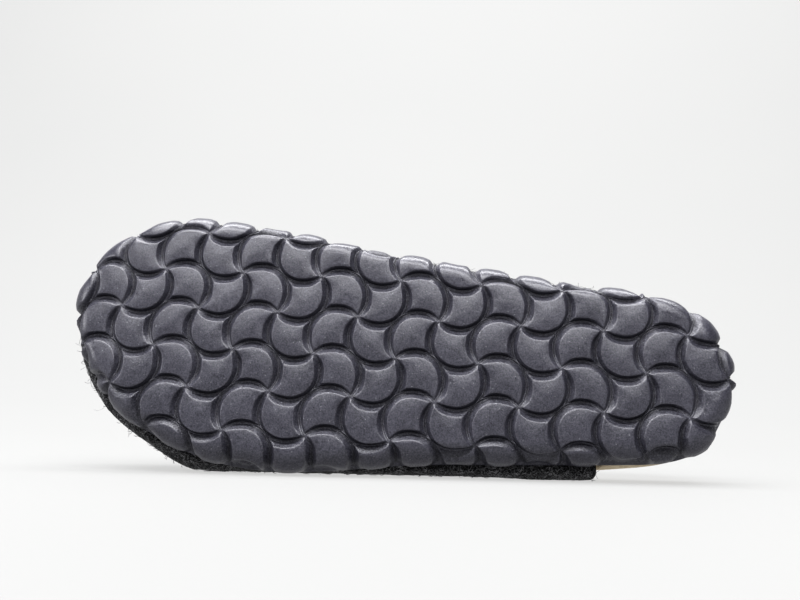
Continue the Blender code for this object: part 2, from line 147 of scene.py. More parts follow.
profile = sweep_profile()
sweep_points = [(side * SWEEP_HALF, y, z) for y, z in profile for side in (-1, 1)]
sweep_faces = [(2 * k, 2 * k + 1, 2 * k + 3, 2 * k + 2) for k in range(len(profile) - 1)]
sweep_mesh = bpy.data.meshes.new("floor")
sweep_mesh.from_pydata(sweep_points, [], sweep_faces)
sweep_mesh.polygons.foreach_set("use_smooth", [True] * len(sweep_faces))
floor = linked("floor", sweep_mesh)
floor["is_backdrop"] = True
far_points = []
for k in range(FAR_SIDES):
    a = 2 * math.pi * k / FAR_SIDES
    far_points += [(FAR_RADIUS * math.cos(a), FAR_RADIUS * math.sin(a), z) for z in (0.0, FAR_TOP)]
far_count = len(far_points)
far_faces = [(k, (k + 2) % far_count, (k + 3) % far_count, k + 1) for k in range(0, far_count, 2)]
far_mesh = bpy.data.meshes.new("far_wall")
far_mesh.from_pydata(far_points, [], far_faces)
far_wall = linked("far_wall", far_mesh)
far_wall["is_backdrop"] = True
print("floor strips:", len(sweep_faces), "far wall sides:", len(far_faces))

# %% [markdown]
# The tread is drawn by its light. A wide strip high in front reaches the upper walls of the
# grooves and leaves the lower ones dark, and a second strip fills the faces of the lugs. Two
# weak lamps lift the top edge and the side of the toe, and one washes the back wall. Area
# lamps are used, because a studio's light comes from broad soft boxes.

# %% Lamps
SHOE_MIDDLE = (0.0, 0.0, 0.05)
SHOE_TOE = (-0.1, 0.0, 0.03)
WALL_MIDDLE = (0.0, 1.3, 0.6)
SKY_COLOUR = (0.95, 0.955, 0.96, 1.0)
SKY_STRENGTH = 0.05
# Columns: name, place, target, width and height, watts.
LAMPS = (
    ("key", (-0.1, -0.42, 0.95), SHOE_MIDDLE, (1.4, 0.35), 8.8),
    ("front", (-0.1, -0.85, 0.75), SHOE_MIDDLE, (1.6, 0.25), 4.7),
    ("top", (0.05, 0.25, 0.9), SHOE_MIDDLE, (1.5, 0.7), 1.6),
    ("toe_side", (-0.8, -0.3, 0.3), SHOE_TOE, (0.3, 0.3), 1.0),
    ("wall_wash", (0.0, 0.4, 1.9), WALL_MIDDLE, (2.4, 0.8), 40.0),
)
for name, place, target, size, watts in LAMPS:
    lamp_data = bpy.data.lights.new(name, "AREA")
    lamp_data.shape = "RECTANGLE"
    lamp_data.size, lamp_data.size_y = size
    lamp_data.energy = watts
    lamp = linked(name, lamp_data)
    lamp.location = place
    lamp.rotation_euler = (Vector(target) - Vector(place)).to_track_quat("-Z", "Y").to_euler()
world = bpy.data.worlds.new("studio")
world.use_nodes = True
sky = world.node_tree.nodes["Background"].inputs
sky["Color"].default_value = SKY_COLOUR
sky["Strength"].default_value = SKY_STRENGTH
bpy.context.scene.world = world
bpy.context.scene.view_settings.view_transform = "Standard"
bpy.context.scene.view_settings.look = "Very High Contrast"
print("lamps:", len(LAMPS))

# %% [markdown]
# Shapes and finishes below are written as node trees. Wiring each Math node by hand would
# hide the formula, so one small class wraps an output socket: plain arithmetic on it adds
# the nodes. Every other node comes from its one method, which takes the node's type, its
# settings and the values or links of its sockets. It serves both kinds of tree.

# %% A socket that does arithmetic
class Wire:
    """An output socket. Arithmetic with numbers or other wires adds Math nodes."""

    def __init__(self, socket):
        self.socket = socket
        self.tree = socket.id_data

    @staticmethod
    def node(tree, kind, settings=None, values=None, out=0):
        """A new node with its settings, then its socket values; returns one output."""
        made = tree.nodes.new(kind)
        for name, value in (settings or {}).items():
            setattr(made, name, value)
        for key, value in (values or {}).items():
            socket = Wire.find(made.inputs, key)
            if isinstance(value, Wire):
                tree.links.new(value.socket, socket)
            else:
                socket.default_value = value
        return Wire(Wire.find(made.outputs, out))

    @staticmethod
    def find(sockets, key):
        """A socket by number, identifier or name."""
        if isinstance(key, int):
            return sockets[key]
        return next((s for s in sockets if s.identifier == key), None) or sockets[key]

    def other(self, key):
        """Another output of the same node."""
        return Wire(Wire.find(self.socket.node.outputs, key))

    def math(self, operation, *others):
        """A Math node on this wire and up to two more values."""
        values = dict(zip(("Value", "Value_001", "Value_002"), (self, *others)))
        return Wire.node(self.tree, "ShaderNodeMath", {"operation": operation}, values)

    def __add__(self, other):
        return self.math("ADD", other)

    def __sub__(self, other):
        return self.math("SUBTRACT", other)

    def __mul__(self, other):
        return self.math("MULTIPLY", other)

    def __truediv__(self, other):
        return self.math("DIVIDE", other)

    def __pow__(self, other):
        return self.math("POWER", other)

    __radd__ = __add__
    __rmul__ = __mul__

    def __rsub__(self, first):
        values = {"Value": first, "Value_001": self}
        return Wire.node(self.tree, "ShaderNodeMath", {"operation": "SUBTRACT"}, values)

    def __abs__(self):
        return self.math("ABSOLUTE")

    def clamped(self):
        """The value held between 0 and 1."""
        return self.math("MAXIMUM", 0.0).math("MINIMUM", 1.0)

    def eased(self):
        """The value from 0 to 1 with a soft start and a soft end."""
        held = self.clamped()
        return held * held * (3.0 - 2.0 * held)

    def length_with(self, other):
        """Length of the flat vector of two values."""
        return (self * self + other * other).math("SQRT")

print("wire operators ready")

# %% [markdown]
# The sole's outline is not symmetric: the inner side bulges at the ball and runs straight
# to a round toe. A few stations with an outer and an inner edge describe it. A closed cubic
# spline through them gives an even curve, which a polygon of the same points would not.

# %% Outline of the sole
RIM_HEIGHT = 14.0
TOE_SPRING = 6.0
TOE_SPRING_FROM = 70.0
TOE_TIP = (134.8, 22.0)
HEEL_TIP = (-135.8, 1.0)
RIM_POINTS = 1200
SPLINE_STEPS = 40
# Columns: place along the sole, outer edge, inner edge.
SOLE_STATIONS = (
    (-131.5, -14.4, 17.2),
    (-124.3, -24.8, 27.2),
    (-112.0, -31.1, 34.0),
    (-95.0, -33.6, 37.0),
    (-70.0, -35.4, 39.0),
    (-40.0, -37.3, 42.5),
    (-10.0, -39.5, 46.5),
    (20.0, -43.5, 51.0),
    (45.0, -45.3, 55.0),
    (70.0, -42.5, 57.8),
    (88.0, -36.5, 58.8),
    (104.0, -28.5, 55.8),
    (117.0, -18.0, 49.5),
    (127.0, -5.5, 40.5),
)

def closed_curve(points, count):
    """Evenly spaced points on a closed cubic spline through the given points."""
    p = np.array(points, float)
    n = len(p)
    step = np.linalg.norm(np.roll(p, -1, axis=0) - p, axis=1)
    before = np.roll(step, 1)
    system = np.zeros((n, n))
    rhs = np.zeros((n, 2))
    for k in range(n):
        system[k, k - 1] += before[k]
        system[k, k] += 2 * (before[k] + step[k])
        system[k, (k + 1) % n] += step[k]
        rhs[k] = 6 * ((p[(k + 1) % n] - p[k]) / step[k] - (p[k] - p[k - 1]) / before[k])
    bend = np.linalg.solve(system, rhs)
    a = np.linspace(0.0, 1.0, SPLINE_STEPS, endpoint=False)[:, None]
    b = 1 - a
    fine = []
    for k in range(n):
        after = (k + 1) % n
        curve = b * p[k] + a * p[after]
        fine.append(curve + step[k] ** 2 / 6 * ((b**3 - b) * bend[k] + (a**3 - a) * bend[after]))
    loop = np.vstack(fine + [fine[0][:1]])
    length = np.concatenate([[0.0], np.cumsum(np.linalg.norm(np.diff(loop, axis=0), axis=1))])
    want = np.linspace(0.0, length[-1], count, endpoint=False)
    return np.column_stack([np.interp(want, length, loop[:, c]) for c in range(2)])

outer_edge = [(x, y) for x, y, _ in SOLE_STATIONS]
inner_edge = [(x, y) for x, _, y in reversed(SOLE_STATIONS)]
rim = closed_curve([HEEL_TIP] + outer_edge + [TOE_TIP] + inner_edge, RIM_POINTS)
rim_coarse = rim[::4]
rim_along = np.roll(rim, -1, axis=0) - np.roll(rim, 1, axis=0)
rim_along /= np.linalg.norm(rim_along, axis=1)[:, None]
rim_out = np.column_stack([rim_along[:, 1], -rim_along[:, 0]])
print("sole length in mm:", round(float(np.ptp(rim[:, 0])), 1))

# %% [markdown]
# A height over the plan gives the sole's skin: flat below, then an edge that rounds up until
# it stands upright at the widest line. The distance to the outline decides where on this
# edge a point is. The same distance gives the direction in which a groove is cut, straight
# in from the skin. Above the widest line the wall draws in to the rim.

# %% Skin of the sole
EDGE_RUN = 8.5
EDGE_RISE = 9.5
TOE_SPRING_PAST = 1.2
NO_LENGTH = 1e-9

def rim_distance(points, loop):
    """Distance of plan points to a closed loop and the unit direction inwards from it."""
    span = np.roll(loop, -1, axis=0) - loop
    best = np.full(len(points), np.inf)
    foot = np.zeros((len(points), 2))
    for k in range(len(loop)):
        t = np.clip(((points - loop[k]) @ span[k]) / (span[k] @ span[k]), 0.0, 1.0)
        near = loop[k] + t[:, None] * span[k]
        d = np.linalg.norm(points - near, axis=1)
        closer = d < best
        best[closer] = d[closer]
        foot[closer] = near[closer]
    away = points - foot
    return best, away / np.maximum(np.linalg.norm(away, axis=1), NO_LENGTH)[:, None]

def inside_rim(points, loop):
    """True for plan points inside a closed loop."""
    odd = np.zeros(len(points), bool)
    x, y = points[:, 0], points[:, 1]
    for a, b in zip(loop, np.roll(loop, -1, axis=0)):
        spans = (a[1] > y) != (b[1] > y)
        cut = a[0] + (y[spans] - a[1]) * (b[0] - a[0]) / (b[1] - a[1] if b[1] != a[1] else 1.0)
        odd[spans] ^= x[spans] < cut
    return odd

def toe_lift(x):
    """Rise of the sole towards the toe."""
    share = np.clip((x - TOE_SPRING_FROM) / (TOE_TIP[0] - TOE_SPRING_FROM), 0.0, TOE_SPRING_PAST)
    return TOE_SPRING * share**2

def skin_height(d):
    """Height and slope angle of the skin at a plan distance from the outline."""
    past = np.clip((EDGE_RUN - d) / EDGE_RUN, 0.0, 1.0)
    level = np.sqrt(1 - past**2)
    return EDGE_RISE * (1 - level), np.arctan2(EDGE_RISE * past, EDGE_RUN * level)

print("edge band in mm:", EDGE_RUN)

# %% [markdown]
# The tread is a square lattice of wave lines. Each lattice side is a circular arc, and the
# arcs bulge in turn to one side and the other, so every lug has two hollow and two bulging
# sides and locks into its neighbours. The mesh gets rows of points along these arcs, because
# a plain grid would cut across the groove edges and make them ragged.

# %% Lines of the tread
PITCH = 16.25
LATTICE = np.array([30.5, 33.3])
ARC_ANGLE = math.radians(43.0)
ARC_RADIUS = 0.5 / math.sin(ARC_ANGLE)
ARC_SINK = ARC_RADIUS * math.cos(ARC_ANGLE)
GROOVE_HALF = 1.85
GROOVE_PINCH = 0.9
PINCH_REACH = 6.5
GROOVE_END = 0.04
ARC_STEPS = 44
LATTICE_COLUMNS = range(-7, 11)
LATTICE_ROWS = range(-3, 6)

def groove_half(points):
    """Half width of the groove, narrow at the right-angled crossings."""
    u, v = ((LATTICE - points) / PITCH).T
    a = np.round((u + v) / 2) - (u + v) / 2
    b = np.round((u - v) / 2) - (u - v) / 2
    t = np.clip(np.hypot(a, b) * math.sqrt(2) * PITCH / PINCH_REACH, 0.0, 1.0)
    return GROOVE_PINCH + (GROOVE_HALF - GROOVE_PINCH) * t * t * (3 - 2 * t)

def line_distance(points):
    """Distance in mm from plan points to the nearest wave line."""
    uv = (LATTICE - points) / PITCH
    near = np.full(len(points), np.inf)
    for swap in (False, True):
        p = uv[:, ::-1] if swap else uv
        row = np.round(p[:, 1])
        cell = np.floor(p[:, 0])
        beside = cell + np.where(p[:, 0] - cell > 0.5, 1, -1)
        for i in (cell, beside):
            side = np.where(i % 2 == 0, 1.0, -1.0) * (1 if swap else -1)
            dx = p[:, 0] - (i + 0.5)
            dy = (p[:, 1] - row) * side + ARC_SINK
            on_arc = np.abs(np.hypot(dx, dy) - ARC_RADIUS)
            at_end = np.hypot(np.abs(dx) - 0.5, dy - ARC_SINK)
            within = dy * math.sin(ARC_ANGLE) >= np.abs(dx) * math.cos(ARC_ANGLE)
            near = np.minimum(near, np.where(within, on_arc, at_end))
    return near * PITCH

def wave_lines():
    """Plan points and normals of every arc of the lattice."""
    angle = np.linspace(-ARC_ANGLE, ARC_ANGLE, ARC_STEPS + 1)
    along = 0.5 + ARC_RADIUS * np.sin(angle)
    rise = ARC_RADIUS * np.cos(angle) - ARC_SINK
    normal = np.column_stack([np.sin(angle), np.cos(angle)])
    for i in LATTICE_COLUMNS:
        for j in LATTICE_ROWS:
            down = -1 if i % 2 == 0 else 1
            across = 1 if j % 2 == 0 else -1
            lengthwise = np.column_stack([i + along, j + down * rise])
            crosswise = np.column_stack([i + across * rise, j + along])
            yield LATTICE - PITCH * lengthwise, normal * [1, down]
            yield LATTICE - PITCH * crosswise, normal[:, ::-1] * [across, 1]

arcs = [(line, normal) for line, normal in wave_lines() if inside_rim(line, rim).any()]
print("arcs on the sole:", len(arcs))

# %% [markdown]
# The rows run at set shares of the groove's half width: its bottom, a narrow rib there, the
# walls, the rounded lug edge and a little of the land. Where a row reaches into another
# groove it is dropped, so rows never tangle. A Delaunay fill then joins them in the plan.

# %% Plan mesh of the tread
ROW_SHARES = (0.1, 0.21, 0.35, 0.55, 0.75, 0.88, 0.96, 1.02, 1.1, 1.25, 1.6)
ROW_THIN = 4
ROW_SLACK = 0.06
STEEP_BAND = 4.0
LAND_X = (-134.0, 135.0)
LAND_Y = (-46.0, 60.0)
LAND_GRID = 1.9
LAND_CLEAR = 1.6
MERGE = 0.03
EDGE_BANDS = (0.03, 0.1, 0.22, 0.4, 0.65, 1.0, 1.5, 2.1, 2.8, 3.6, 4.6, 5.6, 6.6, 7.6, 8.5)

def kept_runs(line, keep, pick):
    """Runs of kept points, thinned to the picked ones and their ends."""
    run, runs = [], []
    for k in range(len(line)):
        if keep[k] and (pick[k] or not run or k + 1 == len(line) or not keep[k + 1]):
            run.append(line[k])
        if not keep[k] or k + 1 == len(line):
            runs += [run] if len(run) > 1 else []
            run = []
    return runs

def tread_rows():
    """Every row of points along the grooves, inside the rim."""
    sides = [0.0] + [side * share for share in ROW_SHARES for side in (-1, 1)]
    rows = []
    for line, normal in arcs:
        half = groove_half(line)[:, None]
        rows += [(line + share * half * normal, abs(share) * half[:, 0]) for share in sides]
    places = np.vstack([row for row, _ in rows])
    offsets = np.concatenate([offset for _, offset in rows])
    depth, _ = rim_distance(places, rim_coarse)
    own = line_distance(places) > offsets - ROW_SLACK
    keep = inside_rim(places, rim_coarse) & (depth > GROOVE_END) & own
    thin = np.tile(np.arange(ARC_STEPS + 1) % ROW_THIN == 0, len(rows))
    pick = thin | (depth < STEEP_BAND)
    runs = []
    for k in range(0, len(places), ARC_STEPS + 1):
        part = slice(k, k + ARC_STEPS + 1)
        runs += kept_runs(places[part], keep[part], pick[part])
    return runs

def land_points():
    """Loose points on the lands and on the bands round the edge."""
    x, y = np.meshgrid(np.arange(*LAND_X, LAND_GRID), np.arange(*LAND_Y, LAND_GRID))
    grid = np.column_stack([x.ravel(), y.ravel()])
    depth, _ = rim_distance(grid, rim_coarse)
    grid = grid[inside_rim(grid, rim_coarse) & (depth > EDGE_RUN)]
    loose = np.vstack([grid] + [rim[::2] - d * rim_out[::2] for d in EDGE_BANDS])
    clear = line_distance(loose) > LAND_CLEAR * groove_half(loose)
    close = rim_distance(loose, rim_coarse)[0] < STEEP_BAND / 2
    return loose[clear | close]

plan_points = [tuple(p) for p in rim]
plan_edges = [(k, (k + 1) % RIM_POINTS) for k in range(RIM_POINTS)]
for row in tread_rows():
    first = len(plan_points)
    plan_points += [tuple(p) for p in row]
    plan_edges += [(first + k, first + k + 1) for k in range(len(row) - 1)]
plan_points += [tuple(p) for p in land_points()]
filled = delaunay_2d_cdt([Vector(p) for p in plan_points], plan_edges, [], 0, MERGE, False)
plan = np.array([tuple(p) for p in filled[0]])
plan_faces = np.array([tuple(f) for f in filled[2]])
plan_faces = plan_faces[inside_rim(plan[plan_faces].mean(axis=1), rim)]
used, plan_faces = np.unique(plan_faces, return_inverse=True)
plan = plan[used]
plan_faces = plan_faces.reshape(-1, 3)
print("plan triangles:", len(plan_faces))

# %% [markdown]
# The plan is lifted onto the sole's skin, still without grooves. Rings above the widest line
# draw in to the rim and end in a small rounded lip, and a flat top closes the body. Two
# attributes travel with it for the next step: the way a groove sinks at each point, and the
# grip, which fades the tread out below the rim.

# %% Smooth sole
# Columns: inset from the outline, height, grip.
WALL_RINGS = (
    (0.05, 10.4, 1.0),
    (0.2, 11.3, 0.9),
    (0.45, 12.1, 0.6),
    (0.75, 12.8, 0.25),
    (1.0, 13.3, 0.0),
    (1.15, 13.75, 0.0),
    (1.5, 14.0, 0.0),
)
depth, inward = rim_distance(plan, rim[::2])
on_rim = [int(np.argmin(np.hypot(*(plan - p).T))) for p in rim]
depth[on_rim] = 0.0
inward[on_rim] = -rim_out
height, slope = skin_height(depth)
skin = np.column_stack([plan, height + toe_lift(plan[:, 0])])
ways = [np.column_stack([inward * np.sin(slope)[:, None], np.cos(slope)])]
grips = [np.ones(len(plan))]
rings = [on_rim]
sole_points = [skin]
for inset, level, grip in WALL_RINGS:
    first = sum(len(p) for p in sole_points)
    sole_points.append(np.column_stack([rim - inset * rim_out, level + toe_lift(rim[:, 0])]))
    ways.append(np.column_stack([-rim_out, np.zeros(RIM_POINTS)]))
    grips.append(np.full(RIM_POINTS, grip))
    rings.append(list(range(first, first + RIM_POINTS)))
sole_faces = [tuple(f) for f in plan_faces]
for low, high in zip(rings, rings[1:]):
    for k in range(RIM_POINTS):
        after = (k + 1) % RIM_POINTS
        sole_faces.append((low[k], high[k], high[after], low[after]))
sole_faces.append(tuple(rings[-1]))
sole_points = np.vstack(sole_points)
sole_mesh = bpy.data.meshes.new("smooth_sole")
sole_mesh.from_pydata(sole_points.tolist(), [], sole_faces)
work = bmesh.new()
work.from_mesh(sole_mesh)
bmesh.ops.recalc_face_normals(work, faces=work.faces)
bmesh.ops.triangulate(work, faces=[f for f in work.faces if len(f.verts) > 4])
work.to_mesh(sole_mesh)
work.free()

def keep_values(mesh, name, values):
    """Stores a number or a vector for each point of a mesh."""
    kind, field = ("FLOAT_VECTOR", "vector") if values.ndim == 2 else ("FLOAT", "value")
    mesh.attributes.new(name, kind, "POINT").data.foreach_set(field, values.ravel())

keep_values(sole_mesh, "sink_way", np.vstack(ways))
keep_values(sole_mesh, "grip", np.concatenate(grips))
print("smooth sole vertices:", len(sole_points))

# %% [markdown]
# Geometry Nodes make several pieces below, so what their trees share is written once. Each tree
# ends in a plain mesh, because that is what an export can take.

# %% Tools for node trees
def new_tree(name, inputs):
    """A geometry tree with named inputs; returns it and the wires of its inputs."""
    tree = bpy.data.node_groups.new(name, "GeometryNodeTree")
    tree.interface.new_socket("Geometry", in_out="INPUT", socket_type="NodeSocketGeometry")
    for label, kind in inputs:
        tree.interface.new_socket(label, in_out="INPUT", socket_type="NodeSocket" + kind)
    tree.interface.new_socket("Geometry", in_out="OUTPUT", socket_type="NodeSocketGeometry")
    entry = Wire.node(tree, "NodeGroupInput", out="Geometry")
    return tree, {"Geometry": entry, **{label: entry.other(label) for label, _ in inputs}}

def close_tree(tree, shape, material):
    """Ends a tree in Realize Instances and Set Material."""
    real = Wire.node(tree, "GeometryNodeRealizeInstances", {}, {"Geometry": shape})
    named = Wire.node(tree, "GeometryNodeSetMaterial", {}, {"Geometry": real, "Material": material})
    exit_node = tree.nodes.new("NodeGroupOutput")
    tree.links.new(named.socket, exit_node.inputs["Geometry"])

def vector_math(tree, operation, **values):
    """A Vector Math node."""
    return Wire.node(tree, "ShaderNodeVectorMath", {"operation": operation}, values, "Vector")

def split_vector(tree, vector, axis):
    """One part of a vector; its other parts are the node's other outputs."""
    return Wire.node(tree, "ShaderNodeSeparateXYZ", {}, {"Vector": vector}, axis)

def set_position(tree, shape, **values):
    """A shape with its points moved by an Offset or to a Position."""
    return Wire.node(tree, "GeometryNodeSetPosition", {}, {"Geometry": shape, **values})

def point_value(tree, name, kind="FLOAT"):
    """An attribute that is stored on the points."""
    return Wire.node(tree, "GeometryNodeInputNamedAttribute", {"data_type": kind}, {"Name": name})

def with_value(tree, shape, name, value):
    """A shape with one more number stored on its points."""
    settings = {"data_type": "FLOAT", "domain": "POINT"}
    values = {"Geometry": shape, "Name": name, "Value": value}
    return Wire.node(tree, "GeometryNodeStoreNamedAttribute", settings, values)

def evaluated_mesh(holder):
    """The plain mesh that an object's modifiers give; the object goes."""
    bpy.context.view_layer.update()
    graph = bpy.context.evaluated_depsgraph_get()
    result = bpy.data.meshes.new_from_object(holder.evaluated_get(graph))
    bpy.data.objects.remove(holder)
    return result

def grown(name, mesh, tree, values, move=None):
    """A plain mesh object: the tree's result on a mesh, moved into the frame."""
    base = linked(name + "_base", mesh)
    modifier = base.modifiers.new("rule", "NODES")
    modifier.node_group = tree
    for item in tree.interface.items_tree:
        if item.in_out == "INPUT" and item.name in values:
            modifier[item.identifier] = values[item.name]
    result = evaluated_mesh(base)
    if move is not None:
        result.transform(move)
    result.name = name
    return linked(name, result)

def triangle_count(piece):
    """Triangles of a piece's mesh."""
    return sum(len(p.vertices) - 2 for p in piece.data.polygons)

print("tree tools ready")

# %% [markdown]
# The grooves follow one rule all over the sole, so Geometry Nodes cut them. The rule needs each
# point's distance to the nearest wave line and the groove's half width there. Both are the
# formulas of the plan mesh once more, written with wires.

# %% Distance to the wave lines
def line_distance_wires(u, v):
    """The nearest wave line's distance in lattice units, as nodes."""
    near = None
    for a, b, sign in ((u, v, -1.0), (v, u, 1.0)):
        off = b - b.math("ROUND")
        cell = a.math("FLOOR")
        beside = cell + ((a - cell).math("GREATER_THAN", 0.5) * 2.0 - 1.0)
        for i in (cell, beside):
            side = (1.0 - i.math("FLOORED_MODULO", 2.0) * 2.0) * sign
            dx = abs(a - (i + 0.5))
            dy = off * side + ARC_SINK
            on_arc = abs(dx.length_with(dy) - ARC_RADIUS)
            at_end = (dx - 0.5).length_with(dy - ARC_SINK)
            within = (dy * math.sin(ARC_ANGLE) - dx * math.cos(ARC_ANGLE)).math("GREATER_THAN", 0.0)
            d = at_end + within * (on_arc - at_end)
            near = d if near is None else near.math("MINIMUM", d)
    return near

def half_width_wires(u, v, half, pinch):
    """Half width of the groove as nodes, narrow at the right-angled crossings."""
    a = (u + v) * 0.5
    b = (u - v) * 0.5
    off = (a - a.math("ROUND")).length_with(b - b.math("ROUND"))
    reach = (off * (math.sqrt(2) * PITCH / PINCH_REACH)).eased()
    return pinch + (half - pinch) * reach

print("lattice pitch in mm:", PITCH)

# %% [markdown]
# The distance gives a depth, and each point moves in by it. A groove has a thin rib on its
# bottom, bowed walls and soft lug edges, and it slants to the inner side. On the rolled edge
# the grooves are wider and the lugs blunter. The lugs also stand out there, except on the
# outer side, which the shoe lies on. The sizes are named inputs, so a deeper tread is one
# number, and the depth is kept as an attribute for the finish.

# %% Rule of the tread
PINCH_SHARE = GROOVE_PINCH / GROOVE_HALF
NODE_DEPTH = 0.3
BOTTOM_HALF = 0.12
EDGE_SOFT = 0.07
WALL_BOW = 1.1
RIB_HALF = 0.36
CROWN_RUN = 6.5
CROWN_POWER = 2.0
CHAMFER_RUN = 2.4
ROLL_POWER = 0.5
TREAD_SIZES = {
    "Half width": GROOVE_HALF,
    "Pinch": GROOVE_PINCH,
    "Depth": 2.6,
    "Edge round": 0.25,
    "Rib": 0.9,
    "Crown": 0.35,
    "Slant": 0.5,
    "Widen": 0.4,
    "Bulge": 0.7,
    "Chamfer": 0.5,
}

def tread_tree():
    """Cuts the wave grooves into a smooth sole."""
    inputs = [(size, "Float") for size in TREAD_SIZES] + [("Material", "Material")]
    tree, given = new_tree("tread", inputs)
    x = split_vector(tree, Wire.node(tree, "GeometryNodeInputPosition"), "X")
    u = (LATTICE[0] - x) / PITCH
    v = (LATTICE[1] - x.other("Y")) / PITCH
    near = line_distance_wires(u, v) * PITCH
    plain = half_width_wires(u, v, given["Half width"], given["Pinch"])
    way = point_value(tree, "sink_way", "FLOAT_VECTOR")
    flat = split_vector(tree, way, "Z")
    free_side = 1.0 - flat.other("Y").clamped()
    rolled = (1.0 - flat).clamped() ** ROLL_POWER
    half = plain * (1.0 + rolled * given["Widen"])
    opened = (plain / given["Half width"] - PINCH_SHARE) / (1.0 - PINCH_SHARE)
    level = opened * (1.0 - NODE_DEPTH) + NODE_DEPTH
    shallow = level + (1.0 - level) * rolled
    reach = half + given["Edge round"]
    wall = ((reach - near) / (reach - BOTTOM_HALF)).clamped()
    full = math.sqrt(1 + EDGE_SOFT**2) - EDGE_SOFT
    soft = ((wall * wall + EDGE_SOFT**2).math("SQRT") - EDGE_SOFT) / full
    curve = 1.0 - (1.0 - soft).clamped() ** WALL_BOW
    on_lug = 1.0 - curve
    rib = given["Rib"] * (1.0 - near / RIB_HALF).clamped()
    crown = given["Crown"] * (1.0 - ((near - half) / CROWN_RUN).clamped()) ** CROWN_POWER
    chamfer = given["Chamfer"] * rolled * (1.0 - ((near - half) / CHAMFER_RUN).clamped()) * on_lug
    bulge = given["Bulge"] * rolled * free_side * on_lug
    cut = (curve * given["Depth"] - rib) * shallow + crown + chamfer - bulge
    grip_wire = point_value(tree, "grip")
    groove = curve * shallow * grip_wire
    sunk = vector_math(tree, "SCALE", Vector=way, Scale=cut * grip_wire)
    aside = groove * flat * given["Depth"] * given["Slant"]
    slid = Wire.node(tree, "ShaderNodeCombineXYZ", {}, {"Y": aside})
    both = vector_math(tree, "ADD", Vector=sunk, Vector_001=slid)
    moved = set_position(tree, given["Geometry"], Offset=both)
    kept = with_value(tree, moved, "groove", groove)
    smooth = Wire.node(tree, "GeometryNodeSetShadeSmooth", {}, {"Geometry": kept})
    close_tree(tree, smooth, given["Material"])
    return tree

tread = tread_tree()
print("tread nodes:", len(tread.nodes))

# %% [markdown]
# All finishes use a few nodes again and again: a mix of two colours, a cloudy noise over the
# piece's own coordinates and a bump. Each gets a small function, so a finish reads as a recipe.

# %% Tools for finishes
def new_material(name):
    """A material; returns it, its tree, its shader and the object coordinates."""
    material = bpy.data.materials.new(name)
    material.use_nodes = True
    tree = material.node_tree
    shader = tree.nodes["Principled BSDF"]
    place = Wire.node(tree, "ShaderNodeTexCoord", out="Object")
    return material, tree, shader, place

def rgb_mix(tree, factor, first, second):
    """A colour between two others."""
    values = {"Factor_Float": factor, "A_Color": first, "B_Color": second}
    return Wire.node(tree, "ShaderNodeMix", {"data_type": "RGBA"}, values, "Result_Color")

def noise(tree, place, scale, detail=2.0, roughness=0.5):
    """Cloudy values from 0 to 1 over object coordinates."""
    values = {"Vector": place, "Scale": scale, "Detail": detail, "Roughness": roughness}
    return Wire.node(tree, "ShaderNodeTexNoise", {}, values, "Fac")

def crumbs(tree, place, scale):
    """Distance to the middle of small cells, and a number by chance for each cell."""
    cells = Wire.node(tree, "ShaderNodeTexVoronoi", {}, {"Vector": place, "Scale": scale}, "Distance")
    pick = Wire.node(tree, "ShaderNodeSeparateColor", {}, {"Color": cells.other("Color")}, "Red")
    return cells, pick

def attribute(tree, name):
    """A number that is stored on the piece."""
    return Wire.node(tree, "ShaderNodeAttribute", {"attribute_name": name}, {}, "Fac")

def plug(tree, shader, **inputs):
    """Links or sets a shader's sockets, named with underscores for spaces."""
    for name, value in inputs.items():
        socket = shader.inputs[name.replace("_", " ")]
        if isinstance(value, Wire):
            tree.links.new(value.socket, socket)
        else:
            socket.default_value = value

def bump(tree, height, distance, strength=1.0):
    """A Bump node on a height in metres."""
    values = {"Height": height, "Distance": distance, "Strength": strength}
    return Wire.node(tree, "ShaderNodeBump", {}, values, "Normal")

print("finish tools ready")

# %% [markdown]
# The sole is moulded foam rubber: slate grey with a hint of violet, satin on the worn lands
# and grainy in the grooves, where the mould was blasted. Its colour comes from slow mottling,
# painted shade at the bottom of the grooves, a scatter of pale dust and painted glints in the
# grooves, and the grain is a bump that grows with depth.

# %% Finish of the sole
LAND_DARK = (0.040, 0.040, 0.050, 1.0)
LAND_PALE = (0.124, 0.122, 0.147, 1.0)
GROOVE_PAINTED_SHADE = (0.014, 0.014, 0.018, 1.0)
DUST_AND_PAINTED_GLINT_PALE = (0.42, 0.42, 0.44, 1.0)
DUST_SIZE = 0.2
DUST_RARE = 0.86
DUST_SHARE = 0.28
SOLE_ROUGH = 0.31

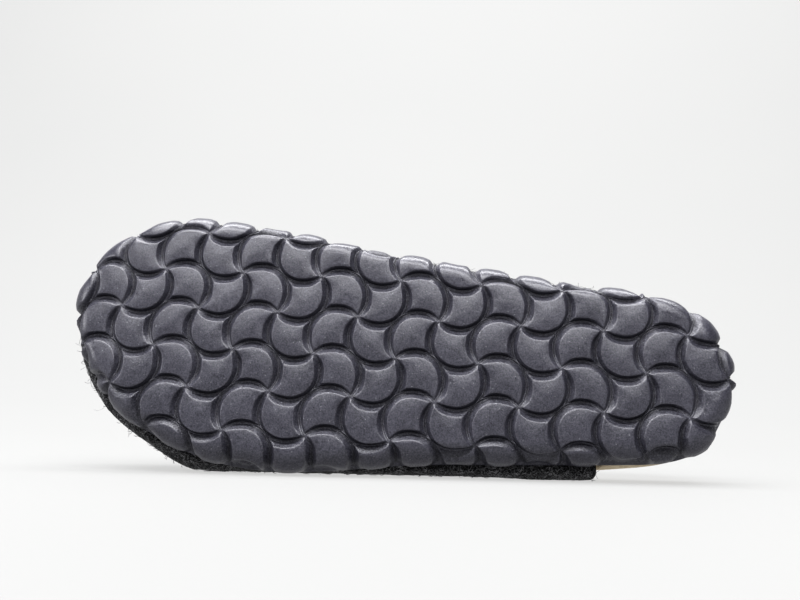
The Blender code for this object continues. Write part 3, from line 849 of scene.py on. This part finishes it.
def sole_finish():
    """Slate grey moulded foam rubber."""
    material, tree, shader, place = new_material("slate_foam_rubber")
    groove = attribute(tree, "groove")
    mottle = noise(tree, place, scale=55.0, detail=4.0, roughness=0.6)
    cloud = noise(tree, place, scale=420.0, detail=3.0, roughness=0.6)
    grain = noise(tree, place, scale=1700.0, detail=3.0, roughness=0.7)
    cells, pick = crumbs(tree, place, scale=800.0)
    dust = cells.math("LESS_THAN", DUST_SIZE) * pick.math("GREATER_THAN", DUST_RARE)
    tone = 0.5 + (mottle - 0.5) * 0.5 + (cloud - 0.5) * 0.4 + (grain - 0.5) * (2.6 + groove * 1.5)
    land = rgb_mix(tree, tone.clamped(), LAND_DARK, LAND_PALE)
    # Painted shade: the bottom of each groove is mixed towards near black.
    deep = rgb_mix(tree, groove**6.0 * 0.45, land, GROOVE_PAINTED_SHADE)
    # Painted glints: bright grain in the grooves is mixed towards pale, together with the dust.
    painted_glint = (grain - 0.6).clamped() * groove * 1.6
    with_dust_and_painted_glints = rgb_mix(tree, (dust * DUST_SHARE + painted_glint).clamped(), deep, DUST_AND_PAINTED_GLINT_PALE)
    rough = SOLE_ROUGH + (cloud - 0.5) * 0.16 + groove * 0.12
    height = grain * (0.25 + groove * 0.9) + cloud * 0.5
    grained = bump(tree, height, distance=0.0002, strength=0.8)
    plug(tree, shader, Base_Color=with_dust_and_painted_glints, Roughness=rough, Normal=grained, Specular_IOR_Level=0.75)
    return material

sole_sizes = {**TREAD_SIZES, "Material": sole_finish()}
sole = grown("moulded_outsole", sole_mesh, tread, sole_sizes, lying)
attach(sole, "root")
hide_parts("outsole")
print("outsole triangles:", triangle_count(sole))

# %% [markdown]
# The other solids have the right form but show flat facets, so a copy of each is merged and
# subdivided, with its cut edges held by creases. Two helpers take a copy's points to the
# standing axes and back, for the small changes that follow.

# %% Smooth copies of solids
CREASE_ANGLE = math.radians(48.0)
JOIN_ANGLE = math.radians(35.0)
JOIN_SKEW = math.radians(50.0)
MERGE_METRES = 1e-6
SMOOTH_LEVELS = 2

def merged_copy(node, name, crease):
    """A smooth subdivided copy of a solid's mesh with creased edges."""
    work = bmesh.new()
    work.from_mesh(frame["nodes"][node].data)
    bmesh.ops.remove_doubles(work, verts=work.verts, dist=MERGE_METRES)
    limits = {"angle_face_threshold": JOIN_ANGLE, "angle_shape_threshold": JOIN_SKEW}
    bmesh.ops.join_triangles(work, faces=work.faces, **limits)
    layer = work.edges.layers.float.new("crease_edge")
    for edge in work.edges:
        if edge.calc_face_angle(0.0) > CREASE_ANGLE:
            edge[layer] = crease
    for face in work.faces:
        face.smooth = True
    mesh = bpy.data.meshes.new(name)
    work.to_mesh(mesh)
    work.free()
    holder = linked(name, mesh)
    rounded = holder.modifiers.new("rounded", "SUBSURF")
    rounded.levels = SMOOTH_LEVELS
    rounded.render_levels = SMOOTH_LEVELS
    return evaluated_mesh(holder)

def standing_points(mesh):
    """Points of a piece in the standing axes, their distance inside the rim and the way in."""
    points = np.empty(len(mesh.vertices) * 3)
    mesh.vertices.foreach_get("co", points)
    standing = (points.reshape(-1, 3) - origin) @ axes / MM
    depth, inward = rim_distance(standing[:, :2], rim_coarse)
    side = np.where(inside_rim(standing[:, :2], rim_coarse), 1.0, -1.0)
    return standing, side * depth, side[:, None] * inward

def put_back(mesh, standing):
    """Sets a piece's points from the standing axes."""
    mesh.vertices.foreach_set("co", (origin + MM * standing @ axes.T).ravel())

print("crease angle in degrees:", round(math.degrees(CREASE_ANGLE), 1))

# %% [markdown]
# The upper is one wall of thick wool felt. Pressed wool is never quite even, so a node rule
# pushes the wall in and out along its normals by a slow noise. It then lifts what would sink
# under the floor that the felt lies on.

# %% Rule of the felt wall
FELT_GAP = 0.0001

def above_floor(tree, shape, gap):
    """Lifts points that are under the floor back onto it."""
    x = split_vector(tree, Wire.node(tree, "GeometryNodeInputPosition"), "X")
    held = x.other("Z").math("MAXIMUM", gap)
    joined = Wire.node(tree, "ShaderNodeCombineXYZ", {}, {"X": x, "Y": x.other("Y"), "Z": held})
    return set_position(tree, shape, Position=joined)

def felt_tree():
    """Makes a felt wall uneven along its normals."""
    inputs = [("Scale", "Float"), ("Depth", "Float"), ("Material", "Material")]
    tree, given = new_tree("felt_wall", inputs)
    normal = Wire.node(tree, "GeometryNodeInputNormal", out="Normal")
    place = Wire.node(tree, "GeometryNodeInputPosition")
    lumps = noise(tree, place, given["Scale"], detail=3.0, roughness=0.55) - 0.5
    push = vector_math(tree, "SCALE", Vector=normal, Scale=lumps * given["Depth"])
    moved = set_position(tree, given["Geometry"], Offset=push)
    close_tree(tree, above_floor(tree, moved, FELT_GAP), given["Material"])
    return tree

felt_rule = felt_tree()
print("felt nodes:", len(felt_rule.nodes))

# %% [markdown]
# The felt is near black wool with pale grey fibres pressed into it. Thin curly lines come
# from the ridges of a warped noise: where the noise crosses its middle value it draws a line
# without end, and a high power leaves only the thread. Two such sets at different sizes lie
# over a dark cloudy ground, and they lift the bump as well.

# %% Finish of the felt
FELT_BLACK = (0.005, 0.005, 0.006, 1.0)
FELT_DARK = (0.024, 0.024, 0.026, 1.0)
FELT_FIBRE = (0.62, 0.62, 0.64, 1.0)

def fibre_lines(tree, place, scale, warp, sharp):
    """Thin curly lines, 1 on a fibre and 0 beside it."""
    values = {"Vector": place, "Scale": scale, "Detail": 1.5, "Roughness": 0.5, "Distortion": warp}
    cloud = Wire.node(tree, "ShaderNodeTexNoise", {}, values, "Fac")
    return (1.0 - abs(cloud * 2.0 - 1.0) * 2.0).clamped() ** sharp

def felt_finish():
    """Charcoal wool felt with pale fibres."""
    material, tree, shader, place = new_material("charcoal_felt")
    ground = noise(tree, place, scale=900.0, detail=4.0, roughness=0.65)
    patch = noise(tree, place, scale=130.0, detail=2.0, roughness=0.5)
    thick = fibre_lines(tree, place, scale=420.0, warp=1.2, sharp=9.0)
    thin = fibre_lines(tree, place, scale=1100.0, warp=1.6, sharp=5.0)
    pale = ((thick * 0.7 + thin * 0.4) * (0.25 + patch * 0.9)).clamped()
    dark = rgb_mix(tree, ((ground - 0.3) * 2.0).clamped(), FELT_BLACK, FELT_DARK)
    colour = rgb_mix(tree, pale, dark, FELT_FIBRE)
    height = ground * 0.8 + thick * 0.5 + thin * 0.4
    pressed = bump(tree, height, distance=0.0004, strength=0.9)
    plug(tree, shader, Base_Color=colour, Roughness=0.88 + ground * 0.1, Normal=pressed)
    plug(tree, shader, Specular_IOR_Level=0.2, Sheen_Weight=0.12, Sheen_Roughness=0.5)
    return material

felt_material = felt_finish()
print("felt finish:", felt_material.name)

# %% [markdown]
# At the outer side of the toe the felt shows past the sole's rim as a soft dark band. The
# solid's wall shows less of it, so the copy swells a little there before the rule runs.

# %% Felt upper
FELT_CREASE = 0.75
SWELL = 1.8
SWELL_FROM = 98.0
SWELL_RUN = 14.0
SWELL_SIDE = 22.0
SWELL_REACH = 6.0
SWELL_LOW = 0.5
SWELL_EASE = 2.5
SWELL_TOP = 34.0

def swelled(mesh):
    """Lets the felt stand out past the rim at the outer side of the toe."""
    standing, within, inward = standing_points(mesh)
    x, y, z = standing.T
    above = z - RIM_HEIGHT - toe_lift(x)
    near = 1 - np.clip(within / SWELL_REACH, 0.0, 1.0)
    toe = np.clip((x - SWELL_FROM) / SWELL_RUN, 0.0, 1.0)
    toe = toe * np.clip((SWELL_SIDE - y) / SWELL_SIDE, 0.0, 1.0)
    band = np.clip((above - SWELL_LOW) / SWELL_EASE, 0.0, 1.0)
    band = band * np.clip((SWELL_TOP - above) / SWELL_TOP, 0.0, 1.0)
    push = SWELL * near * toe * band
    standing[:, :2] -= push[:, None] * inward
    put_back(mesh, standing)
    print("felt swells by mm:", round(float(push.max()), 2))

felt_mesh = merged_copy("upper", "felt_upper", FELT_CREASE)
swelled(felt_mesh)
felt_sizes = {"Scale": 160.0, "Depth": 0.0009, "Material": felt_material}
felt = grown("felt_upper", felt_mesh, felt_rule, felt_sizes)
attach(felt, "root")
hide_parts("upper")
print("felt triangles:", triangle_count(felt))

# %% [markdown]
# Felt sheds loose ends of wool that catch the light along its outline. Hair particles would
# be lost in an export, so a tree scatters short lines over the wall, turns each one by
# chance, bends it with noise and gives it a thin closed body.

# %% Rule of the fuzz
FUZZ_GAP = 0.0003
LYING_TILT = 1.5
CURL_SCALE = 330.0
FIBRE_POINTS = 5
FIBRE_SIDES = 3
SHORTEST = 0.5
LENGTH_SPREAD = 0.8
FUZZ_INPUTS = ("Density", "Length", "Radius", "Curl", "Rise")

def by_chance(tree, seed):
    """A number from 0 to 1 for each point."""
    return Wire.node(tree, "FunctionNodeRandomValue", {"data_type": "FLOAT"}, {"Seed": seed}, "Value_001")

def fibres(tree, dots, shaded, size, lean, spin):
    """A short straight line on each point, turned by its lean and its spin."""
    euler = Wire.node(tree, "ShaderNodeCombineXYZ", {}, {"X": lean, "Z": spin * (2 * math.pi)})
    local = Wire.node(tree, "FunctionNodeEulerToRotation", {}, {"Euler": euler})
    turns = {"Rotation": dots.other("Rotation"), "Rotate By": local}
    turned = Wire.node(tree, "FunctionNodeRotateRotation", {"rotation_space": "LOCAL"}, turns)
    ends = {"Start": (0, 0, 0), "End": (0, 0, 1)}
    line = Wire.node(tree, "GeometryNodeCurvePrimitiveLine", {}, ends)
    fine = Wire.node(tree, "GeometryNodeResampleCurve", {}, {"Curve": line, "Count": FIBRE_POINTS})
    values = {"Points": shaded, "Instance": fine, "Rotation": turned, "Scale": size}
    placed = Wire.node(tree, "GeometryNodeInstanceOnPoints", {}, values)
    return Wire.node(tree, "GeometryNodeRealizeInstances", {}, {"Geometry": placed})

def fuzz_tree():
    """Curly fibres that lie close to a surface."""
    inputs = [(size, "Float") for size in FUZZ_INPUTS] + [("Seed", "Int"), ("Material", "Material")]
    tree, given = new_tree("fuzz", inputs)
    values = {"Mesh": given["Geometry"], "Density": given["Density"], "Seed": given["Seed"]}
    scatter = {"distribute_method": "RANDOM"}
    dots = Wire.node(tree, "GeometryNodeDistributePointsOnFaces", scatter, values, "Points")
    chance = by_chance(tree, given["Seed"] + 1.0)
    shaded = with_value(tree, dots, "shade", chance)
    lean = LYING_TILT - by_chance(tree, given["Seed"] + 2.0) * given["Rise"]
    spin = by_chance(tree, given["Seed"] + 3.0)
    size = given["Length"] * (SHORTEST + chance * LENGTH_SPREAD)
    real = fibres(tree, dots, shaded, size, lean, spin)
    along = Wire.node(tree, "GeometryNodeSplineParameter", out="Factor")
    place = Wire.node(tree, "GeometryNodeInputPosition")
    values = {"Vector": place, "Scale": CURL_SCALE, "Detail": 1.0}
    cloud = Wire.node(tree, "ShaderNodeTexNoise", {}, values, "Color")
    centred = vector_math(tree, "SUBTRACT", Vector=cloud, Vector_001=(0.5, 0.5, 0.5))
    sway = vector_math(tree, "SCALE", Vector=centred, Scale=along * given["Curl"] * given["Length"])
    bent = set_position(tree, real, Offset=sway)
    held = above_floor(tree, bent, FUZZ_GAP)
    values = {"Resolution": FIBRE_SIDES, "Radius": given["Radius"]}
    ring = Wire.node(tree, "GeometryNodeCurvePrimitiveCircle", {"mode": "RADIUS"}, values)
    values = {"Curve": held, "Profile Curve": ring, "Fill Caps": True}
    body = Wire.node(tree, "GeometryNodeCurveToMesh", {}, values)
    close_tree(tree, body, given["Material"])
    return tree

fuzz = fuzz_tree()
print("fuzz nodes:", len(fuzz.nodes))

# %% [markdown]
# The same tree grows a short dense fuzz and a few longer loose hairs. A number by chance makes
# some fibres pale and most of them dark, as in mixed wool.

# %% Fuzz and loose hairs
WOOL_DARK = (0.014, 0.014, 0.016, 1.0)
WOOL_PALE = (0.55, 0.55, 0.57, 1.0)
# Columns: density per square metre, length, radius, curl, rise, seed.
FUZZ_SIZES = {
    "short_fuzz": (82000.0, 0.0036, 0.00007, 1.6, 0.4, 4),
    "loose_hairs": (350.0, 0.005, 0.00004, 1.4, 0.6, 23),
}

def wool_finish():
    """Single wool fibres from charcoal to pale grey."""
    material, tree, shader, place = new_material("wool_fibre")
    shade = attribute(tree, "shade")
    tone = (shade * 1.2 - 0.35).clamped() ** 1.5 + noise(tree, place, scale=600.0) * 0.15
    colour = rgb_mix(tree, tone.clamped(), WOOL_DARK, WOOL_PALE)
    plug(tree, shader, Base_Color=colour, Roughness=0.75 + tone * 0.1)
    return material

wool = wool_finish()
for name, sizes in FUZZ_SIZES.items():
    values = dict(zip(FUZZ_INPUTS + ("Seed",), sizes))
    hairs = grown(name, felt.data.copy(), fuzz, {**values, "Material": wool})
    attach(hairs, "root")
    print(name, "triangles:", triangle_count(hairs))

# %% [markdown]
# Behind the collar the footbed shows its pale edge. It is pressed cork: small granules in tan
# and brown, with a thin dark line at a set height over the rim. The cover is suede, with a nap
# that is lighter or darker in slow strokes.

# %% Finishes of the footbed and the cover
CORK_TAN = (0.52, 0.45, 0.34, 1.0)
CORK_PALE = (0.66, 0.59, 0.47, 1.0)
CORK_BROWN = (0.24, 0.15, 0.08, 1.0)
BROWN_RARE = 0.9
DARK_LINE_LEVEL = 3.2
DARK_LINE_HALF = 0.7
SUEDE_DARK = (0.46, 0.36, 0.25, 1.0)
SUEDE_PALE = (0.63, 0.53, 0.40, 1.0)

def cork_finish():
    """Pale pressed cork."""
    material, tree, shader, place = new_material("pressed_cork")
    cells, pick = crumbs(tree, place, scale=520.0)
    fine = noise(tree, place, scale=1500.0, detail=3.0, roughness=0.6)
    light = rgb_mix(tree, pick, CORK_TAN, CORK_PALE)
    dark = (pick.math("GREATER_THAN", BROWN_RARE) * 0.5 + (fine - 0.55).clamped()).clamped()
    level = attribute(tree, "level")
    # A thin dark line at a set height over the rim, which the bump also presses in.
    dark_line = (1.0 - abs(level - DARK_LINE_LEVEL) / DARK_LINE_HALF).clamped() * (0.6 + fine * 0.5)
    colour = rgb_mix(tree, (dark + dark_line).clamped(), light, CORK_BROWN)
    grained = bump(tree, fine * 0.5 - cells * 0.6 - dark_line, distance=0.0003, strength=0.7)
    plug(tree, shader, Base_Color=colour, Roughness=0.78 + fine * 0.15, Normal=grained)
    return material

def suede_finish():
    """Pale suede with a brushed nap."""
    material, tree, shader, place = new_material("pale_suede")
    nap = noise(tree, place, scale=3200.0, detail=3.0, roughness=0.7)
    strokes = noise(tree, place, scale=70.0, detail=4.0, roughness=0.6)
    tone = ((strokes - 0.35) * 1.8 + (nap - 0.5) * 0.6).clamped()
    colour = rgb_mix(tree, tone, SUEDE_DARK, SUEDE_PALE)
    brushed = bump(tree, nap, distance=0.00015, strength=0.6)
    rough = 0.86 + nap * 0.1
    plug(tree, shader, Base_Color=colour, Roughness=rough, Normal=brushed, Sheen_Weight=0.25)
    return material

print("seam over the rim in mm:", DARK_LINE_LEVEL)

# %% [markdown]
# Both pieces keep the form of their solids. Only a thin strip of the bed's edge shows past the
# rim at the heel, so they are drawn in a little there.

# %% Footbed and cover
HEEL_FROM = -60.0
HEEL_RUN = 52.0
HEEL_INSET = 2.0
HEEL_FADE = 14.0
BED_CREASE = 0.8
COVER_CREASE = 0.7

def drawn_in(mesh):
    """Draws a piece's edge in under the rim at the heel; keeps its height over the rim."""
    standing, within, inward = standing_points(mesh)
    near = 1 - np.clip(within / HEEL_FADE, 0.0, 1.0)
    back = np.clip((HEEL_FROM - standing[:, 0]) / HEEL_RUN, 0.0, 1.0)
    inset = HEEL_INSET * back * back * (3 - 2 * back) * near
    standing[:, :2] += inset[:, None] * inward
    keep_values(mesh, "level", standing[:, 2] - RIM_HEIGHT - toe_lift(standing[:, 0]))
    put_back(mesh, standing)
    print(mesh.name, "drawn in by mm:", round(float(inset.max()), 2))

def soft_piece(name, node, material, crease):
    """A smooth copy of a solid with a finish, in its place."""
    mesh = merged_copy(node, name, crease)
    drawn_in(mesh)
    mesh.materials.clear()
    mesh.materials.append(material)
    piece = linked(name, mesh)
    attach(piece, "root")
    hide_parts(node)
    print(name, "triangles:", triangle_count(piece))

soft_piece("cork_footbed", "footbed", cork_finish(), BED_CREASE)
soft_piece("suede_cover", "insole", suede_finish(), COVER_CREASE)

# %% [markdown]
# The studio floor is white paper. It glows a little, as if it were lit from all sides, which
# keeps its shadows pale and lights the lugs from below. A faint cloud varies its colour.

# %% Finish of the floor
PAPER_DULL = (0.09, 0.091, 0.092, 1.0)
PAPER_PALE = (0.098, 0.098, 0.098, 1.0)
PAPER_GLOW = (1.0, 1.0, 0.995, 1.0)
GLOW_STRENGTH = 0.387

def floor_finish():
    """Matt white paper with a glow."""
    material, tree, shader, place = new_material("white_paper")
    cloud = noise(tree, place, scale=3.0, detail=2.0, roughness=0.5)
    colour = rgb_mix(tree, cloud, PAPER_DULL, PAPER_PALE)
    plug(tree, shader, Base_Color=colour, Roughness=0.8 + cloud * 0.1, Specular_IOR_Level=0.1)
    plug(tree, shader, Emission_Color=PAPER_GLOW, Emission_Strength=GLOW_STRENGTH)
    return material

paper = floor_finish()
for stage in (floor, far_wall):
    stage.data.materials.append(paper)
print("floor finish:", paper.name)

# %% [markdown]
# Last, the box of the dressed shoe is printed beside the box of the solids. The fuzz, the
# swelled felt and the lugs at the rim stand out by up to about 2 mm, and nothing else changes
# the size.

# %% Sizes
sizes = {"cad": [list(c) for c in cad_box], "visual": [list(c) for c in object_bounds()]}
print("sizes:", sizes)
